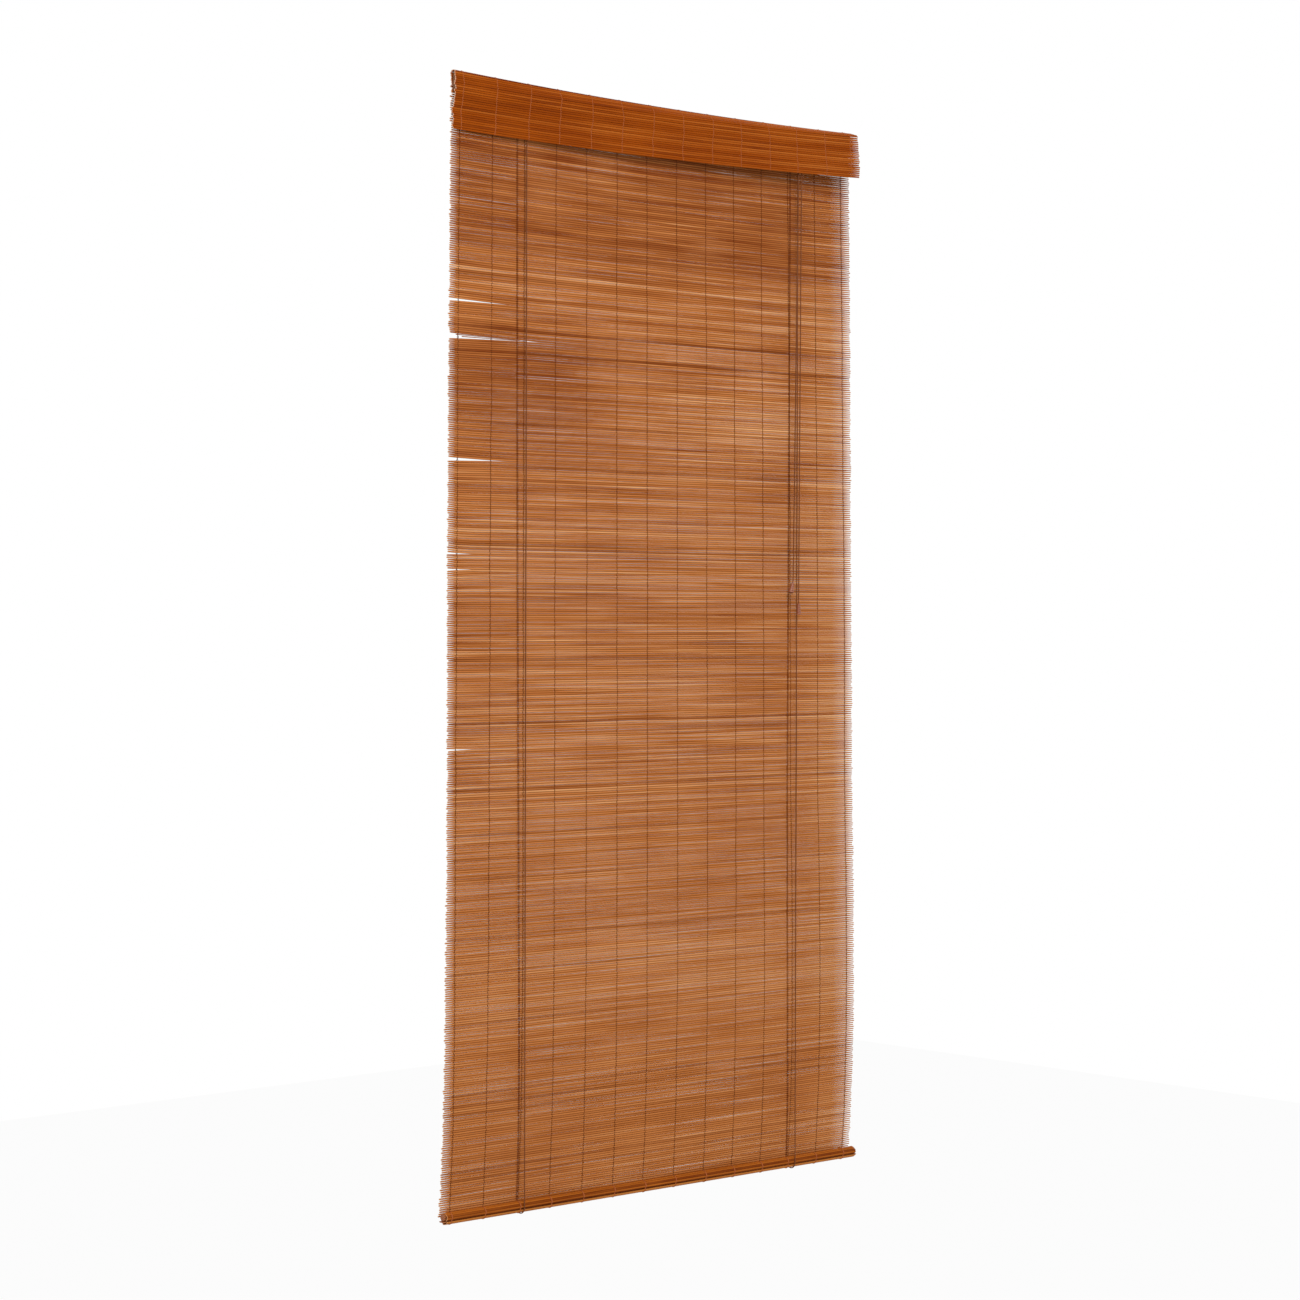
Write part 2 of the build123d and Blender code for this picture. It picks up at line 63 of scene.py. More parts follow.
mat_top = -0.01529
mat_foot = -1.76937
mat_twist = 0.012
mat_belly = 0.007
foot_swing = 0.012
mat_lean = 0.005
cord_radius = 0.0009
hem_left = Vector((-0.455, 0.0075, -1.7755))
hem_right = Vector((0.445, -0.0165, -1.7755))

# Sections of the reeds and strands in half sizes, and how they lie on the sheet
reed_sides = 8
reed_flatness = 0.85
reed_depth = 0.00075
reed_height = 0.00170
valance_reed_height = 0.00177
hem_reed_height = 0.00168
reed_seat = 0.0010
strand_radius = 0.00054
strand_rise = reed_depth + strand_radius * 0.9
roll_reed_radius = 0.0087
roll_reeds = 17
chance = np.random.default_rng(21)


# Camera and lamps

def aim_camera():
    """Eye level a little above the middle of the blind, 42 degrees to its left."""
    lens = bpy.data.cameras.new("photo_camera")
    lens.lens = 81.79
    lens.sensor_width = 36.0
    lens.shift_x = -0.0006
    lens.shift_y = -0.0204
    lens.clip_end = 60
    camera = bpy.data.objects.new("photo_camera", lens)
    camera.location = (-3.3442, -3.6032, -0.8454)
    camera.rotation_euler = (math.radians(90), 0, math.radians(-42.674))
    bpy.context.collection.objects.link(camera)
    bpy.context.scene.camera = camera


def hang_lamp(name, place, target, power, size):
    """Square soft lamp that faces the target."""
    light = bpy.data.lights.new(name, "AREA")
    light.energy = power
    light.size = size
    lamp = bpy.data.objects.new(name, light)
    lamp.location = place
    lamp.rotation_euler = (Vector(target) - Vector(place)).to_track_quat("-Z", "Y").to_euler()
    bpy.context.collection.objects.link(lamp)


aim_camera()


# Shader helpers

def stain(red, green, blue):
    """Colour as it looks on screen, turned to a shader colour."""
    def linear(value):
        value /= 255
        return value / 12.92 if value <= 0.04045 else ((value + 0.055) / 1.055) ** 2.4
    return (linear(red), linear(green), linear(blue), 1.0)


class Nodes:
    """Adds and joins the nodes of one tree."""

    def __init__(self, tree):
        self.tree = tree
        self.column = 0

    def add(self, kind, inputs=None, **settings):
        node = self.tree.nodes.new(kind)
        node.location = (self.column, 0)
        self.column += 190
        for key, value in settings.items():
            setattr(node, key, value)
        for key, value in (inputs or {}).items():
            self.feed(node.inputs[key], value)
        return node

    def feed(self, socket, value):
        """Joins another node's output to the socket, or sets a plain value on it."""
        if isinstance(value, bpy.types.NodeSocket):
            self.tree.links.new(value, socket)
        else:
            socket.default_value = value

    def math(self, operation, first, second=0.0, clamp=False):
        node = self.add("ShaderNodeMath", {0: first, 1: second}, operation=operation, use_clamp=clamp)
        return node.outputs[0]

    def mix(self, amount, first, second):
        node = self.add("ShaderNodeMix", data_type="RGBA")
        for index, value in ((0, amount), (6, first), (7, second)):
            self.feed(node.inputs[index], value)
        return node.outputs[2]

    def noise(self, vector, scale, detail=3.0, roughness=0.55):
        return self.add("ShaderNodeTexNoise", {"Vector": vector, "Scale": scale, "Detail": detail,
                                               "Roughness": roughness}).outputs["Fac"]

    def spread(self, value, low, high, to_low=0.0, to_high=1.0):
        return self.add("ShaderNodeMapRange", {"Value": value, "From Min": low, "From Max": high,
                                               "To Min": to_low, "To Max": to_high}).outputs["Result"]

    def stretched(self, scale):
        place = self.add("ShaderNodeTexCoord").outputs["Object"]
        return self.add("ShaderNodeMapping", {"Vector": place, "Scale": scale}).outputs["Vector"]

    def mark(self, name):
        return self.add("ShaderNodeAttribute", attribute_name=name).outputs["Fac"]

    def seen_straight(self):
        """1 for rays that the camera sees or that a gloss or clear material sends on, else 0."""
        rays = self.add("ShaderNodeLightPath")
        return self.math("MAXIMUM", rays.outputs["Is Camera Ray"],
                         self.math("MAXIMUM", rays.outputs["Is Glossy Ray"],
                                   rays.outputs["Is Transmission Ray"]))


# Shared effects

colour_kind = "NodeSocketColor"
value_kind = "NodeSocketFloat"
all_outputs = [("Colour", colour_kind), ("Roughness", value_kind), ("Height", value_kind)]


def colour_inputs(*labels):
    """Colour sockets that start grey."""
    return [(label, colour_kind, (0.5, 0.5, 0.5, 1.0)) for label in labels]


def effect(name, takes, gives):
    """Empty node group with named sockets."""
    tree = bpy.data.node_groups.new(name, "ShaderNodeTree")
    for label, kind, start in takes:
        socket = tree.interface.new_socket(name=label, in_out="INPUT", socket_type=kind)
        socket.default_value = start
    for label, kind in gives:
        tree.interface.new_socket(name=label, in_out="OUTPUT", socket_type=kind)
    nodes = Nodes(tree)
    return tree, nodes, nodes.add("NodeGroupInput"), nodes.add("NodeGroupOutput")


def make_cane_grain():
    """Streaks of split cane: each reed has its own tone and pale cut ends, with painted shade along its
    seams.
    """
    tree, nodes, taken, given = effect(
        "cane_grain",
        colour_inputs("Dark Colour", "Middle Colour", "Pale Colour", "Seam Colour", "Cut Colour")
        + [("Streaks", value_kind, 0.4), ("Seam Depth", value_kind, 0.7)], all_outputs)
    tone = nodes.mark("tone")
    seam_shade = nodes.mark("seam_shade")
    cut = nodes.mark("cut")
    streak = nodes.noise(nodes.stretched((14, 500, 900)), 1.0, 4.0, 0.6)
    fibre = nodes.noise(nodes.stretched((60, 2500, 4200)), 1.0, 2.0, 0.5)
    cloud = nodes.noise(nodes.stretched((3.0, 3.0, 9.0)), 1.0, 3.0, 0.5)
    offset = nodes.math("MULTIPLY", nodes.math("SUBTRACT", streak, 0.5), taken.outputs["Streaks"])
    drift = nodes.math("MULTIPLY", nodes.math("SUBTRACT", cloud, 0.5), 0.35)
    level = nodes.math("ADD", nodes.math("ADD", tone, offset), drift, clamp=True)
    low = nodes.spread(level, 0.0, 0.5)
    high = nodes.spread(level, 0.5, 1.0)
    colour = nodes.mix(low, taken.outputs["Dark Colour"], taken.outputs["Middle Colour"])
    colour = nodes.mix(high, colour, taken.outputs["Pale Colour"])
    ring = nodes.noise(nodes.stretched((38, 900, 1500)), 1.0, 1.0, 0.4)
    colour = nodes.mix(nodes.spread(ring, 0.70, 0.80, 0.0, 0.35), colour, taken.outputs["Dark Colour"])
    # Painted shade along the seams between the reeds
    seam_shade_amount = nodes.math("MULTIPLY", seam_shade, taken.outputs["Seam Depth"])
    colour = nodes.mix(seam_shade_amount, colour, taken.outputs["Seam Colour"])
    colour = nodes.mix(cut, colour, taken.outputs["Cut Colour"])
    tree.links.new(colour, given.inputs["Colour"])
    tree.links.new(nodes.spread(fibre, 0.3, 0.7, 0.46, 0.66), given.inputs["Roughness"])
    tree.links.new(nodes.math("ADD", nodes.math("MULTIPLY", fibre, 0.5), streak), given.inputs["Height"])
    return tree


def make_plank_grain():
    """Growth lines and pores of a planed or turned stick."""
    tree, nodes, taken, given = effect(
        "plank_grain", colour_inputs("Early Wood", "Late Wood") + [("Pores", value_kind, 0.4)], all_outputs)
    waves = nodes.add("ShaderNodeTexWave",
                      {"Vector": nodes.stretched((6, 160, 160)), "Scale": 1.0, "Distortion": 3.0,
                       "Detail": 2.0, "Detail Scale": 1.2}, bands_direction="DIAGONAL")
    lines = waves.outputs["Fac"]
    pores = nodes.noise(nodes.stretched((90, 1800, 1800)), 1.0, 3.0, 0.6)
    colour = nodes.mix(lines, taken.outputs["Early Wood"], taken.outputs["Late Wood"])
    dark = nodes.math("MULTIPLY", nodes.spread(pores, 0.5, 0.75), taken.outputs["Pores"])
    colour = nodes.mix(dark, colour, taken.outputs["Late Wood"])
    tree.links.new(colour, given.inputs["Colour"])
    tree.links.new(nodes.spread(pores, 0.3, 0.7, 0.42, 0.62), given.inputs["Roughness"])
    tree.links.new(nodes.math("ADD", lines, pores), given.inputs["Height"])
    return tree


def make_fibre_twist():
    """Plies of a twisted cord or thread, with fuzz and painted shade in the grooves between the plies."""
    tree, nodes, taken, given = effect(
        "fibre_twist", colour_inputs("Ply Colour", "Groove Colour") + [("Plies", value_kind, 420.0)],
        [("Colour", colour_kind), ("Height", value_kind)])
    place = nodes.add("ShaderNodeSeparateXYZ", {0: nodes.add("ShaderNodeTexCoord").outputs["Object"]})
    slant = nodes.math("ADD", place.outputs["Z"],
                       nodes.math("ADD", place.outputs["X"], place.outputs["Y"]))
    turns = nodes.math("MULTIPLY", slant, nodes.math("MULTIPLY", taken.outputs["Plies"], 2 * math.pi))
    ply = nodes.spread(nodes.math("SINE", turns), -1.0, 1.0)
    fuzz = nodes.noise(nodes.stretched((2600, 2600, 2600)), 1.0, 2.0, 0.6)
    shade = nodes.math("ADD", nodes.math("MULTIPLY", ply, 0.75), nodes.math("MULTIPLY", fuzz, 0.4),
                       clamp=True)
    # Painted shade in the grooves between the plies
    colour = nodes.mix(shade, taken.outputs["Groove Colour"], taken.outputs["Ply Colour"])
    tree.links.new(colour, given.inputs["Colour"])
    tree.links.new(nodes.math("ADD", ply, nodes.math("MULTIPLY", fuzz, 0.5)), given.inputs["Height"])
    return tree


def make_handled_wear():
    """Broad stains and faded patches left by sun and hands."""
    tree, nodes, taken, given = effect(
        "handled_wear", colour_inputs("Colour", "Faded Colour") + [("Amount", value_kind, 0.3)],
        [("Colour", colour_kind)])
    patch = nodes.noise(nodes.stretched((6.0, 6.0, 22.0)), 1.0, 4.0, 0.55)
    fade = nodes.math("MULTIPLY", nodes.spread(patch, 0.45, 0.75), taken.outputs["Amount"])
    colour = nodes.mix(fade, taken.outputs["Colour"], taken.outputs["Faded Colour"])
    tree.links.new(colour, given.inputs["Colour"])
    return tree


def make_metal_patina():
    """Fine scratches and dull spots of small plated fittings."""
    tree, nodes, taken, given = effect(
        "metal_patina", colour_inputs("Bright Colour", "Dull Colour"), all_outputs)
    spots = nodes.noise(nodes.stretched((260, 260, 260)), 1.0, 4.0, 0.6)
    scratches = nodes.noise(nodes.stretched((3000, 400, 400)), 1.0, 2.0, 0.5)
    dull = nodes.spread(spots, 0.4, 0.7)
    colour = nodes.mix(dull, taken.outputs["Bright Colour"], taken.outputs["Dull Colour"])
    tree.links.new(colour, given.inputs["Colour"])
    tree.links.new(nodes.spread(spots, 0.3, 0.7, 0.28, 0.5), given.inputs["Roughness"])
    tree.links.new(scratches, given.inputs["Height"])
    return tree


cane_grain = make_cane_grain()
plank_grain = make_plank_grain()
fibre_twist = make_fibre_twist()
handled_wear = make_handled_wear()
metal_patina = make_metal_patina()


# Materials

def finish_with(name, group, values, bump_reach, wear=None, **shader):
    """Material whose colour, roughness and bump come from one effect, with its own shader values."""
    material = bpy.data.materials.new(name)
    material.use_nodes = True
    nodes = Nodes(material.node_tree)
    surface = material.node_tree.nodes["Principled BSDF"]
    for label, value in shader.items():
        surface.inputs[label.replace("_", " ")].default_value = value
    source = nodes.add("ShaderNodeGroup", node_tree=group)
    for label, value in values.items():
        source.inputs[label].default_value = value
    colour = source.outputs["Colour"]
    if wear:
        faded, amount = wear
        patches = nodes.add("ShaderNodeGroup", node_tree=handled_wear)
        patches.inputs["Faded Colour"].default_value = faded
        patches.inputs["Amount"].default_value = amount
        material.node_tree.links.new(colour, patches.inputs["Colour"])
        colour = patches.outputs["Colour"]
    material.node_tree.links.new(colour, surface.inputs["Base Color"])
    if "Roughness" in source.outputs:
        material.node_tree.links.new(source.outputs["Roughness"], surface.inputs["Roughness"])
    bump = nodes.add("ShaderNodeBump", {"Height": source.outputs["Height"], "Strength": 0.6,
                                        "Distance": bump_reach})
    material.node_tree.links.new(bump.outputs["Normal"], surface.inputs["Normal"])
    return material


mat_cane = finish_with(
    "mat_cane", cane_grain,
    {"Dark Colour": stain(142, 70, 28), "Middle Colour": stain(200, 122, 62),
     "Pale Colour": stain(244, 181, 123), "Seam Colour": stain(84, 34, 8),
     "Cut Colour": stain(232, 180, 132), "Streaks": 0.3, "Seam Depth": 1.0},
    0.00012, wear=(stain(216, 146, 90), 0.2), Specular_IOR_Level=0.03)
valance_cane = finish_with(
    "valance_cane", cane_grain,
    {"Dark Colour": stain(108, 38, 0), "Middle Colour": stain(156, 70, 0),
     "Pale Colour": stain(192, 106, 36), "Seam Colour": stain(96, 32, 0),
     "Cut Colour": stain(236, 190, 156), "Streaks": 0.5, "Seam Depth": 0.6},
    0.00012, wear=(stain(172, 84, 8), 0.35), Specular_IOR_Level=0.06)
hem_cane = finish_with(
    "hem_cane", cane_grain,
    {"Dark Colour": stain(112, 44, 2), "Middle Colour": stain(180, 98, 26),
     "Pale Colour": stain(218, 138, 62), "Seam Colour": stain(98, 36, 2),
     "Cut Colour": stain(222, 160, 108), "Streaks": 0.5, "Seam Depth": 0.7},
    0.00012, wear=(stain(198, 112, 40), 0.3), Specular_IOR_Level=0.06)
rail_wood = finish_with(
    "rail_wood", plank_grain,
    {"Early Wood": stain(146, 92, 50), "Late Wood": stain(104, 58, 28), "Pores": 0.5},
    0.0001, wear=(stain(158, 104, 62), 0.3))
lath_wood = finish_with(
    "lath_wood", plank_grain,
    {"Early Wood": stain(182, 112, 58), "Late Wood": stain(134, 70, 28), "Pores": 0.5}, 0.0001)
dowel_wood = finish_with(
    "dowel_wood", plank_grain,
    {"Early Wood": stain(176, 104, 52), "Late Wood": stain(128, 64, 26), "Pores": 0.4}, 0.0001)
pull_wood = finish_with(
    "pull_wood", plank_grain,
    {"Early Wood": stain(164, 94, 58), "Late Wood": stain(112, 52, 28), "Pores": 0.35},
    0.00006, Coat_Weight=0.25, Coat_Roughness=0.25)
thread_cotton = finish_with(
    "thread_cotton", fibre_twist,
    {"Ply Colour": stain(112, 54, 20), "Groove Colour": stain(66, 26, 6), "Plies": 900.0},
    0.00008, Roughness=0.85, Specular_IOR_Level=0.1)
valance_cotton = finish_with(
    "valance_cotton", fibre_twist,
    {"Ply Colour": stain(190, 108, 58), "Groove Colour": stain(128, 56, 18), "Plies": 900.0},
    0.00008, Roughness=0.85, Specular_IOR_Level=0.2)
cord_cotton = finish_with(
    "cord_cotton", fibre_twist,
    {"Ply Colour": stain(140, 80, 42), "Groove Colour": stain(78, 38, 16), "Plies": 360.0},
    0.00015, Roughness=0.8, Specular_IOR_Level=0.25)
plated_steel = finish_with(
    "plated_steel", metal_patina,
    {"Bright Colour": stain(176, 172, 164), "Dull Colour": stain(128, 122, 112)}, 0.00003, Metallic=1.0)
yellow_metal = finish_with(
    "yellow_metal", metal_patina,
    {"Bright Colour": stain(196, 158, 88), "Dull Colour": stain(140, 104, 52)}, 0.00003, Metallic=1.0)


# Mesh helpers

along_rail = np.array([1.0, 0.0, 0.0])
to_room = np.array([0.0, -1.0, 0.0])
downward = np.array([0.0, 0.0, -1.0])


def round_section(sides, flatness=1.0):
    """Unit points round a section that starts on its outer side."""
    turn = np.arange(sides) * 2 * np.pi / sides
    out, along = np.cos(turn), np.sin(turn)
    return np.sign(out) * np.abs(out) ** flatness, np.sign(along) * np.abs(along) ** flatness


def sweep(centres, outs, ways, depth, height, sides, flatness=1.0):
    """Rings round many lines at once: centres, outs and ways are (lines, stations, 3)."""
    out, along = round_section(sides, flatness)
    across = np.cross(outs, ways)
    across /= np.linalg.norm(across, axis=-1, keepdims=True)
    depth = np.broadcast_to(depth, centres.shape[:2])[..., None, None]
    height = np.broadcast_to(height, centres.shape[:2])[..., None, None]
    return (centres[..., None, :] + outs[..., None, :] * depth * out[:, None]
            + across[..., None, :] * height * along[:, None])


def join_rings(rings):
    """Points and closed quads of ringed strips."""
    lines, stations, sides, _ = rings.shape
    index = np.arange(lines * stations * sides).reshape(lines, stations, sides)
    here, there = index[:, :-1], index[:, 1:]
    quads = [np.stack([here, there, np.roll(there, -1, 2), np.roll(here, -1, 2)], -1).reshape(-1, 4)]
    for corner in range(0, sides - 2, 2):
        fan = [0, corner + 1, corner + 2, corner + 3]
        quads.append(index[:, 0][:, fan])
        quads.append(index[:, -1][:, fan[::-1]])
    return rings.reshape(-1, 3), np.concatenate(quads)


def make_piece(name, rings, material, marks=None):
    """New object from rings, with its marks as point attributes."""
    points, quads = join_rings(rings)
    mesh = bpy.data.meshes.new(name)
    mesh.vertices.add(len(points))
    mesh.vertices.foreach_set("co", points.astype(np.float32).ravel())
    mesh.loops.add(quads.size)
    mesh.loops.foreach_set("vertex_index", quads.astype(np.int32).ravel())
    mesh.polygons.add(len(quads))
    mesh.polygons.foreach_set("loop_start", np.arange(0, quads.size, 4, dtype=np.int32))
    mesh.polygons.foreach_set("use_smooth", np.ones(len(quads), dtype=bool))
    mesh.update(calc_edges=True)
    for label, values in (marks or {}).items():
        shown = np.broadcast_to(values, rings.shape[:3]).astype(np.float32).ravel()
        mesh.attributes.new(label, "FLOAT", "POINT").data.foreach_set("value", shown)
    mesh.materials.append(material)
    piece = bpy.data.objects.new(name, mesh)
    bpy.context.collection.objects.link(piece)
    return piece


def wander(count, reach, steps):
    """Slow random drift round zero."""
    knots = chance.normal(0, reach, steps + 1)
    return np.interp(np.linspace(0, steps, count), np.arange(steps + 1), knots)


def wanders(lines, count, reach, steps):
    """A drift of its own for each of several lines."""
    return np.stack([wander(count, reach, steps) for _ in range(lines)])


def above(value, start, reach):
    """0 up to the start, 1 from one reach above it."""
    return np.clip((value - start) / reach, 0, 1)


def below(value, start, reach):
    """0 down to the start, 1 from one reach below it."""
    return np.clip((start - value) / reach, 0, 1)


def fold_with_lift(piece):
    """Hangs the piece from the head and gives it a mesh of its own."""
    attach(piece, "head")
    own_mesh(piece)


# Reed helpers

# How dark the painted shade of the seams is round a reed's section: clear in front, full along both edges
seam_shade_profile = np.abs(round_section(reed_sides, reed_flatness)[1]) ** 2.2


def reed_rings(centres, outs, ways, height):
    """Flat oval rings of split reeds."""
    return sweep(centres, outs, ways, reed_depth, height, reed_sides, reed_flatness)


def fray(x, reach, beyond, short):
    """Cuts each reed off a little beyond or short of both edges."""
    rows = (len(x), 1)
    x[:, :2] += chance.normal(0, reach, rows).clip(-beyond, short)
    x[:, -2:] += chance.normal(0, reach, rows).clip(-short, beyond)


def cut_ends(rows, stations, paleness):
    """Mark of the pale cut at both ends of each reed."""
    cut = np.zeros((rows, stations, 1))
    cut[:, [0, -1]] = paleness
    return cut


def crossings(steps):
    """The two strands of a thread: the side of each, and where it passes in front or behind."""
    for side in (1, -1):
        yield side, side * np.sin(np.arange(steps) * np.pi / 2)


# Pull cords, the first pieces made

def cord_route(name, points):
    """Smooth line through a cord's given points, read back from its spline."""
    curve = bpy.data.curves.new(name, "CURVE")
    curve.dimensions = "3D"
    curve.resolution_u = 48
    spline = curve.splines.new("NURBS")
    spline.points.add(len(points) - 1)
    for knot, point in zip(spline.points, points):
        knot.co = (*point, 1.0)
    spline.order_u = 3
    spline.use_endpoint_u = True
    guide = bpy.data.objects.new(name, curve)
    bpy.context.collection.objects.link(guide)
    bpy.context.view_layer.update()
    line = bpy.data.meshes.new_from_object(guide)
    path = np.array([vertex.co for vertex in line.vertices])
    bpy.data.objects.remove(guide)
    bpy.data.meshes.remove(line)
    return path


def cord_tube(name, path):
    """Round cord along a line that mostly hangs."""
    way = np.gradient(path, axis=0)
    way /= np.linalg.norm(way, axis=1, keepdims=True)
    out = np.cross(way, np.cross(to_room, way))
    out /= np.linalg.norm(out, axis=1, keepdims=True)
    rings = sweep(path[None], out[None], way[None], cord_radius, cord_radius, 10)
    return make_piece(name, rings, cord_cotton)


pull_routes = {
    "1": [(0.3065, -0.0213, -0.01905), (0.3065, -0.0213, -0.030), (0.28900, -0.0249, -0.7586),
          (0.28870, -0.0250, -0.77286), (0.28429, -0.0250, -0.78641)],
    "2": [(0.3135, -0.0213, -0.01905), (0.3134, -0.02134, -0.030), (0.3018, -0.0251, -0.8240)],
}
for label, route in pull_routes.items():
    path = cord_route(f"pull_line_{label}", route)
    cord = cord_tube(f"hanging_cord_{label}", path)
    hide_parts(f"pull_cord_{label}")
    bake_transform(cord)


# The reed mat

# Worn gaps of the left edge: level, length along the reeds and half height at the very edge
worn_place = -0.394
worn_gaps = ((-0.3395, 0.110, 0.0018), (worn_place, 0.180, 0.0042), (-0.589, 0.100, 0.0027),
             (-0.735, 0.050, 0.0013), (-0.762, 0.035, 0.0014), (-1.045, 0.045, 0.0014))
worn_fade = 0.045

# How far the edges, threads and the painted shade of the rear cords stray from straight, at these shares of
# the drop
falls = np.array([0.0, 0.42, 0.64, 0.76, 0.88, 1.0])
left_ends = 0.001 * np.array([2.4, 1.8, 2.8, 1.4, -0.2, -2.6])
right_ends = 0.001 * np.array([1.8, -2.0, -1.8, 1.0, 2.4, -1.0])
common_drift = 0.001 * np.array([-0.4, 0.9, 0.9, 0.9, 0.8, 0.8])
right_drift = 0.001 * np.array([-1.2, 2.0, 1.9, 5.8, 7.8, 6.5])
rear_drifts = 0.001 * np.array([[-1.7, -2.8, -2.8, -3.0, -2.2, -1.0],
                                [-3.0, -10.6, -13.5, -12.9, -9.7, -3.2]])

# Top and foot of the rear cords, whose painted shade shows as a dotted band in the seams of the reeds in
# front of them
rear_cords = ((-0.311, -0.3025), (0.308, 0.2952))
beside_cord = np.array([-0.0026, -0.0014, 0.0014, 0.0026])
cord_shade_reach = 0.0016

# Places along a reed where its shape and tone may change, left free round the rear cords
edge_stations = np.array([-0.450, -0.4488, -0.446])
even_stations = np.linspace(-0.4335, 0.4335, 27)
off_cords = (np.abs(even_stations + 0.307) > 0.012) & (np.abs(even_stations - 0.302) > 0.012)
mat_stations = np.concatenate([edge_stations, even_stations[off_cords], -edge_stations[::-1]])
valance_stations = np.concatenate([edge_stations, even_stations, -edge_stations[::-1]])

# Threads at the mat's top and foot, each one's share of the bend at the lower right, and
# threads of the valance
top_places = np.array([-0.4299, -0.3626, -0.2968, -0.2300, -0.1640, -0.0990, -0.0325,
                       0.0350, 0.1015, 0.1675, 0.2335, 0.2990, 0.3645, 0.4310])
foot_places = np.array([-0.4333, -0.3673, -0.2968, -0.2324, -0.1649, -0.0985, -0.0324,
                        0.0345, 0.1020, 0.1675, 0.2325, 0.2940, 0.3610, 0.4265])
bend_shares = np.array([0, 0, 0, 0, 0, 0, 0, 0, 0, 0, 0.3, 1.0, 0.95, 1.0])
valance_places = np.array([-0.4280, -0.3600, -0.2920, -0.2290, -0.1620, -0.0970, -0.0300,
                           0.0365, 0.1035, 0.1685, 0.2350, 0.3010, 0.3700, 0.4315]) - 0.003

# Rows of the mat, the last two tucked behind the hem roll, and the levels of the darkest rows
mat_rows = int(round((mat_top - mat_foot) / reed_pitch))
tucked_rows = 2
tuck_levels = (-reed_pitch / 2, reed_pitch / 2, 1.5 * reed_pitch)
tuck_depths = (0, 0.0006, 0.00165)
dark_levels = (-0.295, -0.380, -0.415, -0.526, -0.905, -1.180, -1.341, -1.604, -1.641, -1.721)

# Zones of tone: painted shade under the valance, a darker patch at the left, calmer rows below
shade_foot, shade_reach = -0.29, 0.05
darker_patch_level, darker_patch_reach = -0.47, 0.09
calm_top, calm_reach = -1.08, 0.10


def bow(x):
    """Sag of the head between its two screws."""
    return rail_sag * ((x / half_width) ** 2 - (screw_place / half_width) ** 2)


def share_down(z):
    """0 at the mat's top, 1 at its foot."""
    return (mat_top - z) / (mat_top - mat_foot)


def head_sag(x, z):
    """The head's sag as the rows below it take it up, gone 35 cm down."""
    return bow(x) * np.clip(1 - (mat_top - z) / 0.35, 0, 1)


def mat_back(x, z):
    """Rear face of the hanging mat: it twists, bellies and swings back at its foot."""
    fall = np.clip(share_down(z), 0, 1)
    twist = -mat_twist * (1 - (1 - fall) ** 2) * x / half_width
    return twist - mat_belly * fall + foot_swing * fall ** 12


def worn_shift(x, z):
    """Rows pushed apart by the worn gaps."""
    shift = np.zeros(np.broadcast(x, z).shape)
    for place, length, half_gap in worn_gaps:
        opening = half_gap * np.clip(1 - (x + half_width) / length, 0, 1)
        away = z - place
        shift += np.sign(away) * opening * np.exp(-np.abs(away) / worn_fade)
    return shift


def mat_reed_heights(x, level):
    """Uneven heights: slimmer towards both edges, a little fuller in the top and foot rows."""
    count, stations = x.shape
    swell = 1 + wanders(count, stations, 0.012, 9) + chance.normal(0, 0.012, (count, 1))
    right_margin, left_margin = above(x, 0.429, 0.015), below(x, -0.434, 0.010)
    height = (reed_height * swell * (1 - (0.40 + 0.08 * share_down(level)) * right_margin)
              * (1 - 0.24 * left_margin))
    height *= 1 + 0.012 * above(level, -0.27, 0.04) + 0.010 * below(level, -1.40, 0.15)
    height[:, 0] *= 0.8
    return height


def mat_marks(x, level, from_cord):
    """Tones, seams and cut ends: uneven rows and streaks, dark rows, zones, painted shade in the seams, and
    the painted shade of the rear cords seen between the reeds.
    """
    count, stations = x.shape
    calm = 1 - 0.5 * below(level, calm_top, calm_reach)
    darker_patch = np.exp(-((level - darker_patch_level) / darker_patch_reach) ** 2) * below(x, 0.05, 0.3)
    row_tone = chance.normal(0, 0.105, (count, 1)).clip(-0.15, 0.15)
    streak_tone = wanders(count, stations, 0.11, 13)
    tone = 0.5 + calm * (1 - 0.4 * darker_patch) * (row_tone + streak_tone)
    tone += wander(count, 0.045, max(2, count // 22))[:, None]
    dark_row = chance.random((count, 1)) < 0.02
    for place in dark_levels:
        dark_row |= np.abs(level - place) < reed_pitch / 2
    dark_share = dark_row * (0.3 + 0.7 * calm) * np.clip(0.6 + 4 * streak_tone, 0.15, 1)
    tone -= 0.34 * dark_share
    # Darker patch at the upper left
    tone -= 0.34 * darker_patch
    # Painted shade under the valance
    tone -= 0.24 * above(level, shade_foot, shade_reach)
    # Painted light: the mat is lighter at its right part
    tone += 0.10 * above(x, 0.33, 0.05)
    # Painted shade of the rear cords, seen between the reeds as a dotted dark band
    cord_shade = (from_cord < cord_shade_reach)[..., None] * (0.4 + 0.6 * seam_shade_profile)
    return {"tone": np.clip(tone[..., None] - 0.6 * cord_shade, 0, 1),
            "seam_shade": (0.74 * seam_shade_profile + 0.6 * cord_shade + 0.22 * dark_share[..., None]).clip(0, 1),
            "cut": cut_ends(count, stations, 0.9)}


